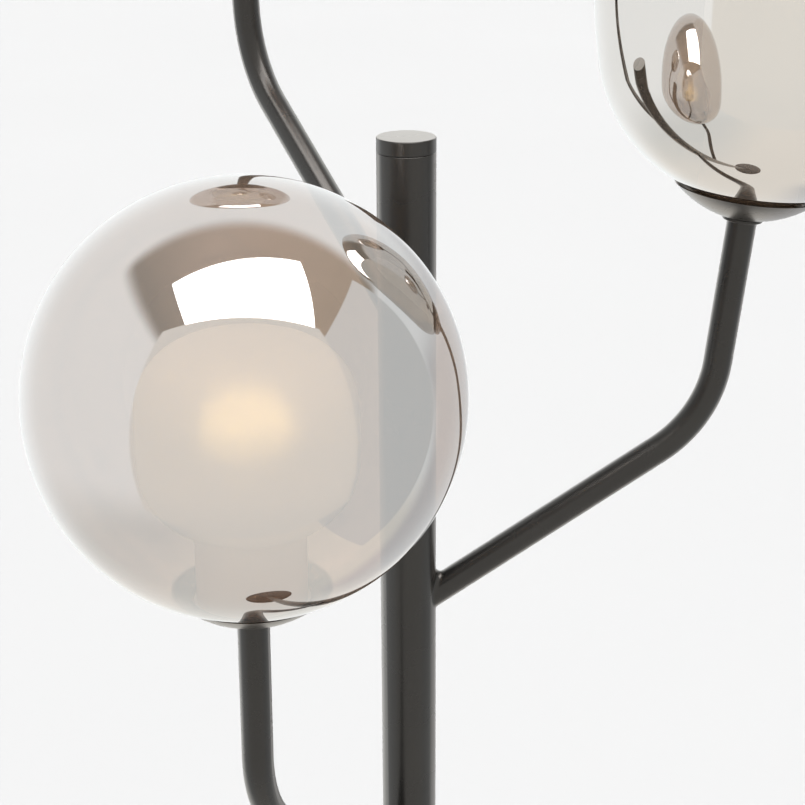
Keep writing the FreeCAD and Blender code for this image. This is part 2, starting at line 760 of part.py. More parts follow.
def barrel_points(half_width, half_height, end, shoulder, side):
    """Where the end, shoulder and side arcs of a barrel profile meet, measured from its middle.
    The end arc is centred on the axis, and the side arc on the middle's level."""
    side_centre = Vector(half_width - side, 0, 0)
    end_centre = Vector(0, half_height - end, 0)
    apart = end_centre - side_centre
    from_side, from_end = side - shoulder, end - shoulder
    along = (from_side ** 2 - from_end ** 2 + apart.Length ** 2) / (2 * apart.Length)
    off = math.sqrt(from_side ** 2 - along ** 2)
    unit = Vector(apart).normalize()
    outward = Vector(-unit.y, unit.x, 0)
    shoulder_centre = side_centre + unit * along + outward * off
    end_meet = end_centre + (shoulder_centre - end_centre).normalize() * end
    side_meet = side_centre + (shoulder_centre - side_centre).normalize() * side
    return end_centre, shoulder_centre, side_centre, end_meet, side_meet


def draw_barrel(body, side, bottom, neck, kind, wall):
    """A barrel of tangent arcs on a straight neck, with the wall set off inwards from the outside's
    sizes. It is added to the body as its outside, or taken from it as its inside. Gives the height
    of the barrel's middle."""
    sketch = sketch_on(body, side)
    inset = "0 * " + wall if side == "outside" else wall
    width, height, end, shoulder, flank = [
        "(%s_%s - %d * %s)" % (kind, part, times, inset)
        for part, times in (("diameter", 2), ("height", 2), ("end_radius", 1), ("shoulder_radius", 1),
                            ("side_radius", 1))]
    across = "(%s - %s)" % (neck, inset)
    low_end = "(%s + %s)" % (bottom, inset)
    middle = "(%s + %s / 2)" % (low_end, height)
    end_centre, shoulder_centre, flank_centre, end_meet, flank_meet = barrel_points(
        size(width) / 2, size(height) / 2, size(end), size(shoulder), size(flank))
    lift = Vector(0, size(middle), 0)
    low_centre = Vector(shoulder_centre.x, -shoulder_centre.y, 0)
    low_meet = Vector(flank_meet.x, -flank_meet.y, 0)
    inward = size(across) - low_centre.x
    neck_top = low_centre + Vector(inward, -math.sqrt(size(shoulder) ** 2 - inward ** 2), 0)
    top = Vector(0, size(height) / 2, 0)
    stations = [(neck_top, low_meet, low_centre, shoulder),
                (low_meet, flank_meet, flank_centre, flank),
                (flank_meet, end_meet, shoulder_centre, shoulder),
                (end_meet, top, end_centre, end)]
    arcs = []
    for start, finish, centre, radius in stations:
        arc, _ = arc_between(start + lift, finish + lift, centre + lift)
        geo = sketch.addGeometry(arc)
        hold(sketch, "Radius", geo, by=radius)
        arcs.append(geo)
    low_arc, flank_arc, high_arc, end_arc = arcs
    floor = Vector(0, size(GLASS_FOOT), 0)
    corner = Vector(size(across), size(GLASS_FOOT), 0)
    axis_line = sketch_line(sketch, top + lift, floor)
    mouth_line = sketch_line(sketch, floor, corner)
    neck_line = sketch_line(sketch, corner, neck_top + lift)
    for lower, upper in zip(arcs, arcs[1:]):
        hold(sketch, "Tangent", lower, 2, upper, 1)
    hold(sketch, "Coincident", end_arc, 2, axis_line, 1)
    hold(sketch, "Coincident", axis_line, 2, mouth_line, 1)
    hold(sketch, "Coincident", mouth_line, 2, neck_line, 1)
    hold(sketch, "Coincident", neck_line, 2, low_arc, 1)
    fix_point(sketch, mouth_line, 1, "0", GLASS_FOOT)
    fix_point(sketch, neck_line, 1, across, GLASS_FOOT)
    hold(sketch, "Vertical", neck_line)
    hold(sketch, "PointOnObject", end_arc, 2, -2)
    hold(sketch, "PointOnObject", end_arc, 3, -2)
    hold(sketch, "DistanceY", -1, 1, end_arc, 3, by="%s + %s - %s" % (low_end, height, end))
    hold(sketch, "DistanceY", -1, 1, flank_arc, 3, by=middle)
    hold(sketch, "DistanceX", flank_arc, 3, -1, 1, by="%s - %s / 2" % (flank, width))
    hold(sketch, "Vertical", low_arc, 3, high_arc, 3)
    revolve(body, sketch, TURN[side])
    return middle


def build_round_glass(name, place):
    """The mirror-coated globe: a ball with a short neck that stands on the seal."""
    radius = "globe_diameter / 2"
    middle = "(%s + %s)" % (glass_bottom(radius), radius)
    body = new_body(name + "_globe_body")
    draw_ball(body, "outside", GLASS_FOOT, "neck_diameter / 2", middle, radius)
    draw_ball(body, "inside", GLASS_FOOT, "(neck_diameter / 2 - glass_wall)", middle,
              "(globe_diameter / 2 - glass_wall)")
    keep(body, name + "_globe", place)


def build_tall_glass(name, place):
    """The mirror-coated tall glass, on the same neck."""
    body = new_body(name + "_globe_body")
    for side in TURN:
        draw_barrel(body, side, glass_bottom("pill_end_radius"), "neck_diameter / 2", "pill", "glass_wall")
    keep(body, name + "_globe", place)


def build_diffuser(name, place, kind):
    """The frosted inner glass, a barrel on a long neck that stands inside the outer neck."""
    neck = "(neck_diameter / 2 - glass_wall - inner_neck_gap)"
    body = new_body(name + "_diffuser_body")
    for side, inset in (("outside", "0 * inner_wall"), ("inside", "inner_wall")):
        middle = draw_barrel(body, side, kind + "_start", neck, kind, "inner_wall")
        dress(body, "Fillet", "Radius", "inner_neck_fillet + " + inset,
              ("%s - %s" % (neck, inset), GLASS_FOOT + " + inner_wall", middle))
    keep(body, name + "_diffuser", place)


def glass_bottom(end_radius):
    """Height of a glass's lowest point, if it had no neck, so that it clears the saucer's rim."""
    return "(%s + glass_rim_gap - (%s - sqrt((%s)^2 - %s^2)))" % (RIM_HEIGHT, end_radius, end_radius, INNER_RIM)


# Heights shared by the pieces of the base, the post and a head.
GLAND_HEIGHT = "((recess_ceiling + pad_thickness) / 2)"
WEIGHT_RIM = "(base_diameter / 2 - base_sheet - weight_side_gap)"
TERMINAL_TOP = "(base_height + foot_plug_length + terminal_height)"
SAUCER_FLOOR = "(collar_thickness + saucer_sheet)"
SAUCER_CENTRE = "(collar_thickness + sqrt(saucer_radius^2 - (collar_diameter / 2)^2))"
RIM_HEIGHT = "(%s - sqrt(saucer_radius^2 - (saucer_rim_diameter / 2)^2))" % SAUCER_CENTRE
INNER_RIM = "sqrt((saucer_radius - saucer_sheet)^2 - (%s - %s)^2)" % (SAUCER_CENTRE, RIM_HEIGHT)
GRIP_FLOOR = "(collar_thickness + saucer_sheet + hub_height)"
LEAD_TOP = "(nipple_length - nipple_drop)"
HOLDER_FOOT = "(%s + grip_sheet)" % GRIP_FLOOR
HOLDER_TOP = "(%s + holder_length)" % HOLDER_FOOT
CAP_FLOOR = "(%s - bulb_cap_length - shell_wall)" % HOLDER_TOP
GLASS_FOOT = "(seal_top + seat_gap)"


def check_and_write():
    doc.recompute()
    for item in doc.Objects:
        if "Invalid" in item.State or "Error" in item.State:
            raise RuntimeError("%s is not built: %s" % (item.Label, item.State))
    os.makedirs("parts", exist_ok=True)
    for piece in pieces:
        shape = piece.Shape
        if shape.isNull() or not shape.isValid() or not shape.Solids:
            raise RuntimeError("%s has no valid solid" % piece.Label)
        shape.exportStep("parts/%s.step" % piece.Label)
        print("%-22s solids %d volume %10.1f" % (piece.Label, len(shape.Solids), shape.Volume))


build_base()
build_post()
for arm, (_, glass) in ARMS.items():
    build_arm(arm)
    build_lead(arm)
    spot = head_place(arm)
    build_fixings(arm, spot)
    build_lampholder(arm, spot)
    build_bulb(arm, spot)
    if glass == "pill":
        build_tall_glass(arm, spot)
        build_diffuser(arm, spot, "tall")
    else:
        build_round_glass(arm, spot)
        build_diffuser(arm, spot, "drum")
check_and_write()
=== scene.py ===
import bpy
import json
import math
from mathutils import Matrix, Vector


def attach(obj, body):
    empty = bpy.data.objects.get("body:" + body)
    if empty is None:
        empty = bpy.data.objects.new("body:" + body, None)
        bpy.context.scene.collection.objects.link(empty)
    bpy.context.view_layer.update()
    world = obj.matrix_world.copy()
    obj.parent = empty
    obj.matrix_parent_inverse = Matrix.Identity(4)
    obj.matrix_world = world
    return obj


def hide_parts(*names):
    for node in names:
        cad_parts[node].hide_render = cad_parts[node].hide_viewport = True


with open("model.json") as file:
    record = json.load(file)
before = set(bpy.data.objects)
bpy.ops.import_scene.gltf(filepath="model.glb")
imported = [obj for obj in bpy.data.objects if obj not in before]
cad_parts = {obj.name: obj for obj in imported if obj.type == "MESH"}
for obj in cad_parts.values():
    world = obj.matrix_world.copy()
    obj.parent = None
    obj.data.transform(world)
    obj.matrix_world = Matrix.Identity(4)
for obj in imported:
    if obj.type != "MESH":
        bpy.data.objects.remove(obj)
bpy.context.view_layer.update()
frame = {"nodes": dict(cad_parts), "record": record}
nodes = frame["nodes"]
scene = bpy.context.scene
scene.view_settings.view_transform = "Standard"
scene.view_settings.look = "None"
# the glasses reflect one another and stand one inside the other, so light takes long paths
scene.cycles.max_bounces = 16
scene.cycles.glossy_bounces = 12
scene.cycles.transmission_bounces = 12
scene.cycles.transparent_max_bounces = 40
scene.cycles.sample_clamp_indirect = 6.0

# ---------------------------------------------------------------- the lamp's own sizes, in mm

POST_HEIGHT = 1450.0
ARM_REACH, ARM_LEG = 170.0, 115.0
# turn about the post, drop below the post's top, slope of the run, lean of the leg
ARMS = {"right": (0, 278.0, 34.0, 6.0), "front": (-120, 441.0, 35.5, -0.8), "rear": (120, 109.0, 36.0, 4.0)}
TALL_ARM = "right"

# the saucer is a cap of a sphere, and the outer glass stands just above its rim
SAUCER_BOTTOM = 2.0
SAUCER_RADIUS, SAUCER_SHEET = 55.5, 1.2
SAUCER_HOLE, SAUCER_RIM = 10.9, 39.0
RIM_GAP = 0.4
SAUCER_CENTRE = SAUCER_BOTTOM + math.sqrt(SAUCER_RADIUS ** 2 - SAUCER_HOLE ** 2)
RIM_HEIGHT = SAUCER_CENTRE - math.sqrt(SAUCER_RADIUS ** 2 - SAUCER_RIM ** 2)
INNER_RIM = math.sqrt((SAUCER_RADIUS - SAUCER_SHEET) ** 2 - (SAUCER_CENTRE - RIM_HEIGHT) ** 2)

GLASS_FOOT = 11.7
NECK, GLASS_WALL = 30.0, 2.5
INNER_NECK, INNER_WALL, INNER_FILLET = 27.0, 2.0, 5.0
BALL_RADIUS = 103.5
# width, height, and the radii of the end, the shoulder and the side
PILL = (198.0, 284.0, 130.0, 85.0, 300.0)
TALL_START, TALL_INNER = 54.0, (76.0, 150.0, 48.0, 34.0, 400.0)
ROUND_START, ROUND_INNER = 47.0, (106.0, 98.0, 120.0, 34.0, 260.0)

# facets round a glass: many on the mirrors, because facets show in a reflection
MIRROR_STEPS, FROSTED_STEPS = 176, 128


def head_matrix(arm):
    """The frame of an arm's head in metres: origin at the tube's end, +Z up the leg."""
    turn, drop, slope, lean = ARMS[arm]
    tilt = math.radians(lean)
    reach = ARM_REACH + ARM_LEG * math.sin(tilt)
    height = POST_HEIGHT - drop + ARM_REACH * math.tan(math.radians(slope)) + ARM_LEG * math.cos(tilt)
    place = Matrix.Translation(Vector((reach, 0, height)) / 1000) @ Matrix.Rotation(tilt, 4, "Y")
    return Matrix.Rotation(math.radians(turn), 4, "Z") @ place


def glass_bottom(end_radius):
    """Height of the lowest point of a glass whose round end rests in the saucer's rim."""
    return RIM_HEIGHT + RIM_GAP - (end_radius - math.sqrt(end_radius ** 2 - INNER_RIM ** 2))


# ---------------------------------------------------------------- node helpers

def new_material(name):
    material = bpy.data.materials.new(name)
    material.use_nodes = True
    tree = material.node_tree
    return material, tree, tree.nodes["Principled BSDF"]


def add_node(tree, kind, **settings):
    node = tree.nodes.new(kind)
    for key, value in settings.items():
        if key in node.inputs:
            node.inputs[key].default_value = value
        else:
            setattr(node, key, value)
    return node


def object_noise(tree, scale, detail=2.0, roughness=0.5, stretch=None):
    """Noise in the object's own coordinates, in cycles per metre."""
    spot = add_node(tree, "ShaderNodeTexCoord")
    noise = add_node(tree, "ShaderNodeTexNoise", Scale=scale, Detail=detail, Roughness=roughness)
    source = spot.outputs["Object"]
    if stretch:
        mapping = add_node(tree, "ShaderNodeMapping")
        mapping.inputs["Scale"].default_value = stretch
        tree.links.new(source, mapping.inputs["Vector"])
        source = mapping.outputs["Vector"]
    tree.links.new(source, noise.inputs["Vector"])
    return noise.outputs["Fac"]


def ramp(tree, source, stops):
    node = add_node(tree, "ShaderNodeValToRGB")
    while len(node.color_ramp.elements) < len(stops):
        node.color_ramp.elements.new(0.5)
    for element, (place, colour) in zip(node.color_ramp.elements, stops):
        element.position = place
        element.color = (*colour, 1)
    tree.links.new(source, node.inputs["Fac"])
    return node.outputs["Color"]


def cloudy(tree, source, low, high):
    """Colour that drifts between two tones with a noise."""
    return ramp(tree, source, [(0.3, low), (0.7, high)])


def spread(tree, source, low, high, from_low=0.0, from_high=1.0, smooth=False):
    node = add_node(tree, "ShaderNodeMapRange", interpolation_type="SMOOTHSTEP" if smooth else "LINEAR")
    node.inputs["From Min"].default_value = from_low
    node.inputs["From Max"].default_value = from_high
    node.inputs["To Min"].default_value = low
    node.inputs["To Max"].default_value = high
    tree.links.new(source, node.inputs["Value"])
    return node.outputs["Result"]


def maths(tree, operation, *values):
    node = add_node(tree, "ShaderNodeMath", operation=operation)
    for socket, value in zip(node.inputs, values):
        if isinstance(value, (int, float)):
            socket.default_value = value
        else:
            tree.links.new(value, socket)
    return node.outputs[0]


def blend_colours(tree, share, under, over):
    """The colour under where share is 0, and the colour over where it is 1."""
    node = add_node(tree, "ShaderNodeMix", data_type="RGBA")
    colour_a, colour_b = [socket for socket in node.inputs if socket.type == "RGBA"]
    tree.links.new(share, node.inputs["Factor"])
    for socket, colour in ((colour_a, under), (colour_b, over)):
        if isinstance(colour, tuple):
            socket.default_value = (*colour, 1)
        else:
            tree.links.new(colour, socket)
    return next(socket for socket in node.outputs if socket.type == "RGBA")


def bump(tree, source, distance, strength=1.0, normal=None):
    node = add_node(tree, "ShaderNodeBump", Strength=strength, Distance=distance)
    tree.links.new(source, node.inputs["Height"])
    if normal:
        tree.links.new(normal, node.inputs["Normal"])
    return node.outputs["Normal"]


def upward(tree):
    """How far the surface of a body at rest faces up, from -1 to 1. It turns with the body."""
    direction = add_node(tree, "ShaderNodeTexCoord")
    split = add_node(tree, "ShaderNodeSeparateXYZ")
    tree.links.new(direction.outputs["Normal"], split.inputs[0])
    return split.outputs["Z"]


def edge_share(tree, low, high, start, end):
    """A share that grows from low to high as the surface turns away from the viewer."""
    facing = add_node(tree, "ShaderNodeLayerWeight", Blend=0.5)
    return spread(tree, facing.outputs["Facing"], low, high, start, end, smooth=True)


def mix_shaders(tree, share, first, second):
    mix = add_node(tree, "ShaderNodeMixShader")
    tree.links.new(share, mix.inputs[0])
    tree.links.new(first.outputs[0], mix.inputs[1])
    tree.links.new(second.outputs[0], mix.inputs[2])
    tree.links.new(mix.outputs[0], tree.nodes["Material Output"].inputs["Surface"])


# ---------------------------------------------------------------- materials

def powder_coat(name, grazing, level_only=False):
    """Satin black powder coat: a very fine orange peel with a few rubbed, glossier patches, and a pale
    shine where it is seen at a flat angle, on the whole surface or only where it lies level."""
    material, tree, shader = new_material(name)
    grain = object_noise(tree, 1500, 3.0, 0.6)
    peel = object_noise(tree, 420, 2.0)
    wear = object_noise(tree, 22, 4.0, 0.55)
    tree.links.new(cloudy(tree, wear, (0.0085, 0.0083, 0.0081), (0.0135, 0.013, 0.0124)),
                   shader.inputs["Base Color"])
    tree.links.new(spread(tree, wear, 0.24, 0.31, 0.3, 0.7), shader.inputs["Roughness"])
    normal = bump(tree, peel, 0.00006, 0.5)
    tree.links.new(bump(tree, grain, 0.00003, 0.5, normal), shader.inputs["Normal"])
    shader.inputs["Specular IOR Level"].default_value = 0.5
    shader.inputs["Specular Tint"].default_value = (1.0, 0.93, 0.87, 1)
    skim = add_node(tree, "ShaderNodeBsdfAnisotropic", Roughness=0.28)
    skim.inputs["Color"].default_value = (0.94, 0.87, 0.8, 1)
    tree.links.new(normal, skim.inputs["Normal"])
    share = edge_share(tree, 0.0, grazing, 0.42, 0.72)
    if level_only:
        share = maths(tree, "MULTIPLY", share, spread(tree, upward(tree), 0.15, 1.0, 0.3, 0.9))
    mix_shaders(tree, share, shader, skim)
    return material


def mirror_coat(name, sent_back, tint, low, high):
    """Half-mirror metal film on the outside of a blown glass: it sends back a share of the light, lets
    some of the rest through with a warm tint, and sends back more towards its edges. Its inner side is
    a dull mirror."""
    material, tree, shader = new_material(name)
    cloud = object_noise(tree, 9, 2.0)
    ripple = object_noise(tree, 14, 1.0, 0.4)
    shader.inputs["Metallic"].default_value = 1.0
    shader.inputs["Roughness"].default_value = 0.0
    sides = add_node(tree, "ShaderNodeNewGeometry")
    tone = blend_colours(tree, sides.outputs["Backfacing"], cloudy(tree, cloud, low, high), (0.24, 0.22, 0.2))
    tree.links.new(tone, shader.inputs["Base Color"])
    tree.links.new(bump(tree, ripple, 0.0006, 0.12), shader.inputs["Normal"])
    clear = add_node(tree, "ShaderNodeBsdfTransparent")
    clear.inputs["Color"].default_value = (*tint, 1)
    mix_shaders(tree, edge_share(tree, sent_back, 0.8, 0.55, 1.0), clear, shader)
    return material


def clear_inside():
    """The bare inside of the blown glass: a faint second reflection."""
    material, tree, shader = new_material("bare_glass_inside")
    ripple = object_noise(tree, 18, 1.0, 0.4)
    shader.inputs["Metallic"].default_value = 1.0
    shader.inputs["Roughness"].default_value = 0.02
    shader.inputs["Base Color"].default_value = (0.97, 0.97, 0.97, 1)
    shader.inputs["Alpha"].default_value = 0.04
    tree.links.new(bump(tree, ripple, 0.0006, 0.15), shader.inputs["Normal"])
    return material


def frosted(name, clearness, roughness, painted_glow_low, painted_glow_high):
    """Acid-etched inner glass: it blurs the bulb into a soft glow, which is painted: an emission stands in for the
    bulb's light shining through it. The mesh carries its height along the head in metres, and the neck is darker
    and warmer than the rest."""
    material, tree, shader = new_material(name)
    etch = object_noise(tree, 1800, 2.0)
    cloud = object_noise(tree, 14, 3.0)
    height = add_node(tree, "ShaderNodeAttribute", attribute_name="height").outputs["Fac"]
    tone = blend_colours(tree, spread(tree, height, 0.0, 1.0, 0.03, 0.06), (0.76, 0.62, 0.52),
                         cloudy(tree, cloud, (0.82, 0.8, 0.77), (0.86, 0.84, 0.815)))
    tree.links.new(tone, shader.inputs["Base Color"])
    tree.links.new(bump(tree, etch, 0.00004, 0.4), shader.inputs["Normal"])
    tree.links.new(spread(tree, etch, *roughness), shader.inputs["Roughness"])
    shader.inputs["IOR"].default_value = 1.3
    shader.inputs["Specular IOR Level"].default_value = 0.2
    shader.inputs["Transmission Weight"].default_value = clearness
    # painted glow: this emission is weak at the neck and stronger above it, and stands in for the bulb's light
    # coming through the etched glass
    shader.inputs["Emission Color"].default_value = (0.9, 0.96, 1.0, 1)
    tree.links.new(spread(tree, height, painted_glow_low, painted_glow_high, 0.03, 0.08), shader.inputs["Emission Strength"])
    return material


def glowing_bulb():
    """Lit opal bulb, brightest at its top and dark towards its cap."""
    material, tree, shader = new_material("lit_opal_bulb")
    speck = object_noise(tree, 60, 2.0)
    tree.links.new(cloudy(tree, speck, (0.95, 0.9, 0.82), (1.0, 0.96, 0.9)), shader.inputs["Base Color"])
    shader.inputs["Roughness"].default_value = 0.35
    shader.inputs["Emission Color"].default_value = (1.0, 0.82, 0.3, 1)
    tree.links.new(spread(tree, upward(tree), 0.5, 5.5, -0.35, 0.5), shader.inputs["Emission Strength"])
    return material


def turned_metal(name, low, high):
    """Bright metal with fine turning marks round its axis."""
    material, tree, shader = new_material(name)
    marks = object_noise(tree, 30, 3.0, 0.6, stretch=(6, 6, 260))
    tone = object_noise(tree, 40, 2.0)
    shader.inputs["Metallic"].default_value = 1.0
    tree.links.new(cloudy(tree, tone, low, high), shader.inputs["Base Color"])
    tree.links.new(spread(tree, marks, 0.25, 0.4), shader.inputs["Roughness"])
    tree.links.new(bump(tree, marks, 0.00005, 0.4), shader.inputs["Normal"])
    return material


def moulded(name, low, high, roughness, scale=900, depth=0.00004):
    """Moulded plastic, rubber or casting with a fine skin."""
    material, tree, shader = new_material(name)
    skin = object_noise(tree, scale, 3.0, 0.6)
    tone = object_noise(tree, 18, 3.0)
    tree.links.new(cloudy(tree, tone, low, high), shader.inputs["Base Color"])
    tree.links.new(spread(tree, skin, roughness - 0.05, roughness + 0.05), shader.inputs["Roughness"])
    tree.links.new(bump(tree, skin, depth, 0.5), shader.inputs["Normal"])
    return material


film = mirror_coat("half_mirror_film", 0.5, (0.76, 0.62, 0.52), (0.9, 0.89, 0.88), (0.93, 0.92, 0.91))
dense_film = mirror_coat("dense_mirror_film", 0.67, (0.54, 0.46, 0.38), (0.89, 0.85, 0.81), (0.92, 0.88, 0.84))
inside = clear_inside()
# the last two numbers of each give the painted glow of the glass, at its neck and above it
etched = frosted("etched_inner_glass", 0.4, (0.4, 0.48), 0.0, 0.05)
opal = frosted("etched_tall_inner_glass", 0.06, (0.48, 0.56), 0.03, 0.26)
finishes = {
    "black_metal": powder_coat("black_powder_coat", 0.19),
    "mirror_glass": film,
    "frosted_glass": etched,
    "opal_bulb": glowing_bulb(),
    "plain_steel": turned_metal("zinc_steel", (0.5, 0.5, 0.5), (0.66, 0.66, 0.65)),
    "spring_steel": turned_metal("spring_strip", (0.42, 0.42, 0.41), (0.55, 0.55, 0.54)),
    "brass": turned_metal("drawn_brass", (0.68, 0.5, 0.22), (0.8, 0.62, 0.32)),
    "nickel": turned_metal("nickel_cap", (0.62, 0.61, 0.58), (0.74, 0.73, 0.7)),
    "cast_weight": moulded("cast_iron", (0.05, 0.05, 0.05), (0.09, 0.088, 0.085), 0.7, 300, 0.0004),
    "black_rubber": moulded("foam_rubber", (0.018, 0.018, 0.018), (0.035, 0.035, 0.035), 0.8, 1200, 0.0001),
    "black_plastic": moulded("black_nylon", (0.013, 0.013, 0.013), (0.022, 0.022, 0.022), 0.45),
    "white_plastic": moulded("white_thermoset", (0.76, 0.74, 0.7), (0.86, 0.84, 0.81), 0.4),
    "clear_sheath": moulded("pale_sheath", (0.7, 0.69, 0.66), (0.8, 0.79, 0.76), 0.35),
    "clear_silicone": moulded("pale_silicone", (0.62, 0.62, 0.62), (0.74, 0.74, 0.74), 0.4),
}


def finish_node(name, finish):
    thing = nodes[name]
    if not thing.material_slots:
        thing.data.materials.append(finish)
    for place in thing.material_slots:
        place.material = finish


for part in frame["record"]["subparts"]:
    finish_node(part["node"], finishes[part["material_slot"]])
finish_node("post_cap", powder_coat("cap_powder_coat", 0.39, level_only=True))


# ---------------------------------------------------------------- blown glasses

def arc(centre, radius, start, end, count):
    """Points along an arc of the half section, as (radius, height) and the outward direction."""
    angles = [start + (end - start) * k / count for k in range(count + 1)]
    return [(centre[0] + radius * math.cos(a), centre[1] + radius * math.sin(a), math.cos(a), math.sin(a))
            for a in angles]


def join(*runs):
    """Runs of points end to end, without the doubled points between them."""
    points = []
    for run in runs:
        for point in run:
            if not points or math.dist(points[-1][:2], point[:2]) > 1e-4:
                points.append(point)
    return points


def mouth(neck):
    """The first point of a half section, at the open foot of a straight neck."""
    return [(neck, GLASS_FOOT, 1, 0)]


def ball_section(radius, middle, neck):
    """Neck and ball, from the open mouth to the top."""
    return join(mouth(neck), arc((0, middle), radius, -math.acos(neck / radius), math.pi / 2, 110))


def fillet(start, corner, finish, count=12):
    """A smooth bend from the neck to the curve above it, with its outward directions."""
    bend = []
    for k in range(count + 1):
        t = k / count
        spot = [(1 - t) ** 2 * a + 2 * t * (1 - t) * b + t * t * c for a, b, c in zip(start, corner, finish)]
        along = [2 * (1 - t) * (b - a) + 2 * t * (c - b) for a, b, c in zip(start, corner, finish)]
        length = math.hypot(*along)
        bend.append((*spot, along[1] / length, -along[0] / length))
    return bend


def barrel_section(bottom, width, height, end, shoulder, side, neck, blend):
    """Neck, blend, lower shoulder, side, upper shoulder and end, all tangent, from mouth to top."""
    half_width, half_height = width / 2, height / 2
    middle = bottom + half_height
    side_centre = Vector((half_width - side, 0))
    end_centre = Vector((0, half_height - end))
    # the shoulder's centre is where two circles about the other centres cross
    apart = end_centre - side_centre
    from_side, from_end = side - shoulder, end - shoulder
    along = (from_side ** 2 - from_end ** 2 + apart.length ** 2) / (2 * apart.length)
    unit = apart.normalized()
    off = math.sqrt(from_side ** 2 - along ** 2)
    centre = side_centre + unit * along + Vector((-unit.y, unit.x)) * off
    to_end = (centre - end_centre).normalized()
    to_side = (centre - side_centre).normalized()
    end_angle = math.atan2(to_end.y, to_end.x)
    side_angle = math.atan2(to_side.y, to_side.x)
    low = (centre.x, middle - centre.y)
    high = (centre.x, middle + centre.y)
    meet = -math.acos((neck - centre.x) / shoulder)
    curve = join(arc(low, shoulder, meet, -side_angle, 40),
                 arc((side_centre.x, middle), side, -side_angle, side_angle, 30),
                 arc(high, shoulder, side_angle, end_angle, 40),
                 arc((0, middle + end_centre.y), end, end_angle, math.pi / 2, 24))
    if not blend:
        return join(mouth(neck), curve)
    corner = curve[0][:2]
    first = next(k for k, point in enumerate(curve) if math.dist(point[:2], corner) > blend)
    bend = fillet((neck, corner[1] - blend), corner, curve[first][:2])
    return join(mouth(neck), bend, curve[first:])


def barrel_walls(bottom, sizes, neck, wall, blend=0.0):
    """Outer and inner half sections of a barrel whose wall is even."""
    width, height, end, shoulder, side = sizes
    outer = barrel_section(bottom, width, height, end, shoulder, side, neck, blend)
    inner = barrel_section(bottom + wall, width - 2 * wall, height - 2 * wall, end - wall, shoulder - wall,
                           side - wall, neck - wall, blend + wall if blend else 0)
    return outer, inner


def ball_walls(radius, neck, wall):
    """Outer and inner half sections of a ball whose wall is even."""
    middle = glass_bottom(radius) + radius
    return ball_section(radius, middle, neck), ball_section(radius - wall, middle, neck - wall)


def blown(name, arm, walls, outside, inner_side, steps):
    """A closed shell turned from its outer and inner half sections, with a fire-polished lip."""
    outer, inner = walls
    lip_out, lip_in = outer[0][0], inner[0][0]
    width, half_turn = lip_out - lip_in, [math.pi * k / 8 for k in range(9)]
    lip = [(lip_in + width * (0.5 + 0.5 * math.cos(a)), GLASS_FOOT + 0.35 * width * (1 - math.sin(a)),
            math.cos(a), -math.sin(a)) for a in half_turn]
    section = outer[::-1][:-1] + lip + [(r, h, -across, -high) for r, h, across, high in inner[1:]]
    lip_middle = len(outer) + 4
    place = head_matrix(arm)
    turned = place.to_3x3()
    verts, levels, normals, rings = [], [], [], []
    for radius, height, across, high in section:
        if radius < 1e-4:
            rings.append([len(verts)])
            verts.append(place @ Vector((0, 0, height / 1000)))
            levels.append(height / 1000)
            normals.append(turned @ Vector((0, 0, high)))
            continue
        rings.append(list(range(len(verts), len(verts) + steps)))
        levels.extend([height / 1000] * steps)
        for k in range(steps):
            a = 2 * math.pi * k / steps
            verts.append(place @ (Vector((radius * math.cos(a), radius * math.sin(a), height)) / 1000))
            normals.append(turned @ Vector((across * math.cos(a), across * math.sin(a), high)))
    faces, sides = [], []
    for number, (first, second) in enumerate(zip(rings, rings[1:])):
        for k in range(steps):
            n = (k + 1) % steps
            if len(first) == 1:
                faces.append((first[0], second[k], second[n]))
            elif len(second) == 1:
                faces.append((first[k], second[0], first[n]))
            else:
                faces.append((first[k], second[k], second[n], first[n]))
            sides.append(0 if number < lip_middle else 1)
    mesh = bpy.data.meshes.new(name)
    mesh.from_pydata(verts, [], faces)
    mesh.materials.append(outside)
    mesh.materials.append(inner_side)
    mesh.polygons.foreach_set("material_index", sides)
    mesh.polygons.foreach_set("use_smooth", [True] * len(faces))
    mesh.attributes.new("height", "FLOAT", "POINT").data.foreach_set("value", levels)
    mesh.update()
    mesh.normals_split_custom_set_from_vertices(normals)
    thing = bpy.data.objects.new(name, mesh)
    scene.collection.objects.link(thing)
    return thing


def dress_head(arm):
    """The outer and inner glass of one arm, each in place of its CAD node."""
    if arm == TALL_ARM:
        coat, skin = dense_film, opal
        outer_walls = barrel_walls(glass_bottom(PILL[2]), PILL, NECK, GLASS_WALL)
        inner_walls = barrel_walls(TALL_START, TALL_INNER, INNER_NECK, INNER_WALL, INNER_FILLET)
    else:
        coat, skin = film, etched
        outer_walls = ball_walls(BALL_RADIUS, NECK, GLASS_WALL)
        inner_walls = barrel_walls(ROUND_START, ROUND_INNER, INNER_NECK, INNER_WALL, INNER_FILLET)
    glass = blown(arm + "_mirror_glass", arm, outer_walls, coat, inside, MIRROR_STEPS)
    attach(glass, arm + "_glass")
    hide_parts(arm + "_globe")
    soft = blown(arm + "_etched_glass", arm, inner_walls, skin, skin, FROSTED_STEPS)
    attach(soft, arm + "_glass")
    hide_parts(arm + "_diffuser")


for arm_name in ARMS:
    dress_head(arm_name)


# ---------------------------------------------------------------- studio

FLOOR_REACH = 60.0
BACKGROUND = (0.917, 0.917, 0.913)
ROOM = (1.18, 1.23, 1.25)
ROOM_CORNER = (0.8, 0.82, 0.84)
GROUND_LEFT, GROUND_RIGHT = (0.9, 0.94, 0.94), (1.06, 1.05, 1.0)
NEAR_END = (1.02, 1.03, 1.0)
BOARD = (0.88, 0.92, 0.93)
SOFT_LIGHT = (9.0, 9.0, 9.0)
CEILING = [(0.1, (0.27, 0.29, 0.28)), (0.42, (0.56, 0.49, 0.43)), (0.6, (0.54, 0.46, 0.39)),
           (0.9, (0.47, 0.41, 0.34))]


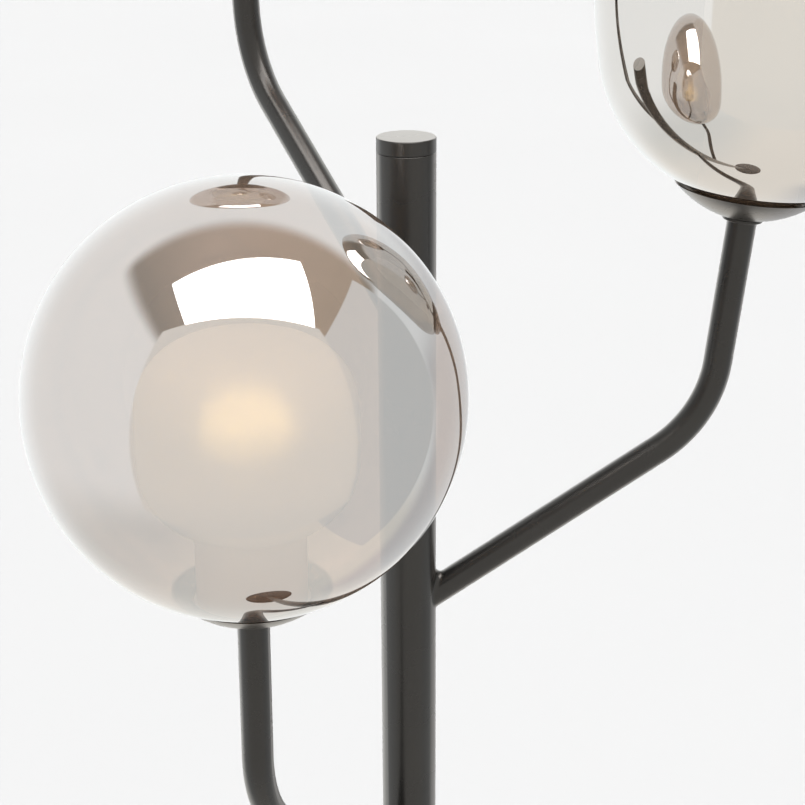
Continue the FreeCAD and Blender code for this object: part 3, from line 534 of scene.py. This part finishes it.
def build_floor():
    """A plain pale floor. It stays out of the reflections, which the world's ground fills."""
    reach = FLOOR_REACH
    mesh = bpy.data.meshes.new("studio_floor")
    mesh.from_pydata([(-reach, -reach, 0), (reach, -reach, 0), (reach, reach, 0), (-reach, reach, 0)], [],
                     [(0, 1, 2, 3)])
    floor = bpy.data.objects.new("studio_floor", mesh)
    scene.collection.objects.link(floor)
    material, tree, shader = new_material("pale_floor")
    tree.links.new(cloudy(tree, object_noise(tree, 0.6, 2.0), (0.418, 0.416, 0.419), (0.423, 0.421, 0.424)),
                   shader.inputs["Base Color"])
    shader.inputs["Roughness"].default_value = 0.9
    shader.inputs["Specular IOR Level"].default_value = 0.0
    mesh.materials.append(material)
    floor.visible_glossy = False


def build_world():
    """Pale room all round, with a darker brown-grey ceiling and a broad soft light in its middle. The
    edges are places on flat walls: a direction divided by its part that points at the wall."""
    world = bpy.data.worlds.new("studio_room")
    scene.world = world
    world.use_nodes = True
    tree = world.node_tree
    tree.nodes.clear()
    way = add_node(tree, "ShaderNodeTexCoord")
    split = add_node(tree, "ShaderNodeSeparateXYZ")
    tree.links.new(way.outputs["Generated"], split.inputs[0])
    x, y, z = split.outputs

    def rises(value, low, high):
        """0 at low, 1 at high, smooth between."""
        return spread(tree, value, 0.0, 1.0, low, high, smooth=True)

    def falls(value, low, high):
        """1 at low, 0 at high, smooth between."""
        return maths(tree, "SUBTRACT", 1.0, rises(value, low, high))

    def within(value, low, high, soft):
        return all_of(rises(value, low - soft, low + soft), rises(value, high + soft, high - soft))

    def all_of(*masks):
        result = masks[0]
        for mask in masks[1:]:
            result = maths(tree, "MULTIPLY", result, mask)
        return result

    def beyond(value, line):
        return maths(tree, "SUBTRACT", value, line)

    def sloped(value, slope, offset):
        return maths(tree, "MULTIPLY_ADD", value, slope, offset)

    def on_wall(value, towards):
        return maths(tree, "DIVIDE", value, towards)

    # the ceiling: across is to the right, along is away from the camera
    up = maths(tree, "MAXIMUM", z, 0.02)
    across, along = on_wall(x, up), on_wall(y, up)
    above = rises(z, 0.02, 0.1)
    ceiling = all_of(above, within(across, -0.98, 1.4, 0.14), falls(along, 0.4, 0.68))
    # the soft light hangs a little askew
    lamp = all_of(above, rises(across, -0.553, -0.535),
                  falls(beyond(across, sloped(along, -0.51, 0.493)), -0.01, 0.01),
                  falls(beyond(along, sloped(across, 0.204, 0.052)), -0.012, 0.012))
    # a white board stands to the right, with a far edge that runs out below the horizon
    right = maths(tree, "MAXIMUM", x, 0.02)
    board_along, board_high = on_wall(y, right), on_wall(z, right)
    board_end = ramp(tree, sloped(board_high, 0.3, 0.55),
                     [(0.0, (0.02, 0.02, 0.02)), (0.5, (0.34, 0.34, 0.34)), (1.0, (0.30, 0.30, 0.30))])
    board = all_of(rises(x, 0.1, 0.2), within(board_high, -1.5, 1.02, 0.015), rises(board_along, -2.0, -1.9),
                   falls(beyond(board_along, board_end), -0.015, 0.015))
    # the plain end of the room behind the camera
    near = maths(tree, "MAXIMUM", maths(tree, "MULTIPLY", y, -1.0), 0.02)
    near_across, near_high = on_wall(x, near), on_wall(z, near)
    near_end = all_of(rises(y, -0.1, -0.2), within(near_across, -1.5, 1.5, 0.05),
                      within(near_high, -1.3, 1.78, 0.03))
    # the ground, and a dimmer corner of the room at the far right
    ground = falls(z, -0.75, -0.4)
    corner = all_of(rises(x, 0.15, 0.35), rises(y, 0.2, 0.4), falls(z, -0.05, 0.25))

    colour = blend_colours(tree, ground, ROOM, blend_colours(tree, rises(x, -0.1, -0.6), GROUND_RIGHT, GROUND_LEFT))
    for mask, over in ((corner, ROOM_CORNER), (ceiling, ramp(tree, sloped(across, 0.5, 0.5), CEILING)),
                       (board, BOARD), (lamp, SOFT_LIGHT), (near_end, NEAR_END)):
        colour = blend_colours(tree, mask, colour, over)
    # the camera itself sees a plain backdrop
    light = add_node(tree, "ShaderNodeLightPath")
    colour = blend_colours(tree, light.outputs["Is Camera Ray"], colour, BACKGROUND)
    shade = add_node(tree, "ShaderNodeBackground")
    tree.links.new(colour, shade.inputs["Color"])
    out = add_node(tree, "ShaderNodeOutputWorld")
    tree.links.new(shade.outputs[0], out.inputs["Surface"])


# the viewpoint solved from the photograph: place in metres, angles in radians, focal length in pixels
PHOTO_WIDTH = 805
FOCAL_LENGTH = 1745.19
SENSOR_WIDTH = 36.0
CAMERA_PLACE = (0, -0.90824, 1.64523)
PITCH, YAW, ROLL = 0.36314, -0.003019, -0.005675
# the solution has the right arm turned by this many degrees from +X
ARM_TURN = -3.34


def build_camera():
    """The photograph's viewpoint: just above and in front of the post's top, looking down at it."""
    turn = Matrix.Rotation(math.radians(ARM_TURN), 4, "Z")
    forward = Vector((math.sin(YAW) * math.cos(PITCH), math.cos(YAW) * math.cos(PITCH), -math.sin(PITCH)))
    right = Vector((math.cos(YAW), -math.sin(YAW), 0))
    up = right.cross(forward)
    level = right * math.cos(ROLL) + up * math.sin(ROLL)
    upright = -right * math.sin(ROLL) + up * math.cos(ROLL)
    facing = Matrix((level, upright, -forward)).transposed().to_4x4()
    data = bpy.data.cameras.new("photo_camera")
    data.sensor_width = SENSOR_WIDTH
    data.lens = FOCAL_LENGTH / PHOTO_WIDTH * SENSOR_WIDTH
    data.clip_start = 0.01
    data.clip_end = 200
    camera = bpy.data.objects.new("photo_camera", data)
    camera.matrix_world = turn @ (Matrix.Translation(CAMERA_PLACE) @ facing)
    scene.collection.objects.link(camera)
    scene.camera = camera


build_floor()
build_world()
build_camera()
